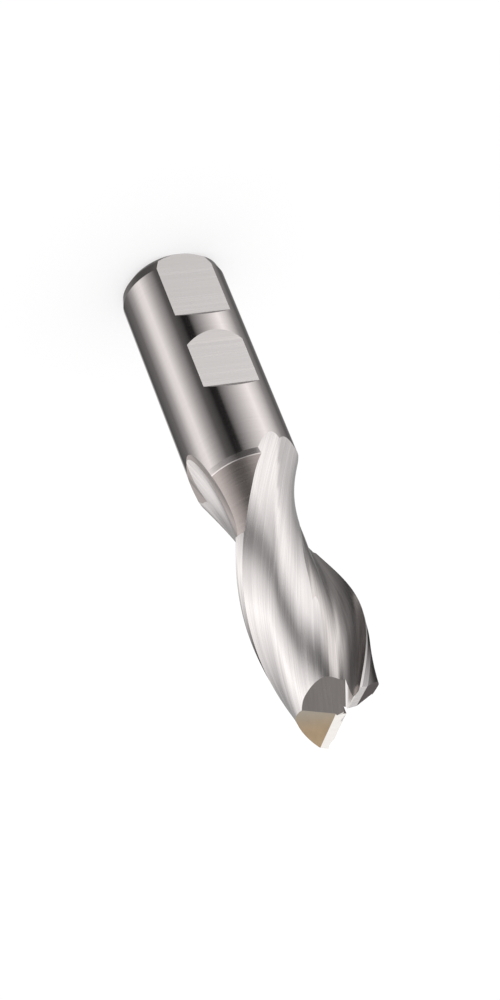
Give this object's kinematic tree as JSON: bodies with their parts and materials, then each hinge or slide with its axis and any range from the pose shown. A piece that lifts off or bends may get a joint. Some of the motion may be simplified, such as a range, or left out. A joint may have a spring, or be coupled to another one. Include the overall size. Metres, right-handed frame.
{
  "type": "slot drill",
  "caption": "Two-flute slot drill with a plain shank, two clamping flats, right-hand helical flutes and a centre-cutting end.",
  "frame": {"origin": "centre of the shank's end face", "axes": "+Z along the tool axis from the shank end to the cutting tip; -Y is the way the two clamping flats face; +Y is the way the first cutting edge points at the tip"},
  "size_m": [0.025, 0.025, 0.121],
  "materials": {
    "ground_steel": "ground and polished high-speed steel"
  },
  "bodies": {
    "root": {"slot_drill": "ground_steel"}
  },
  "joints": []
}
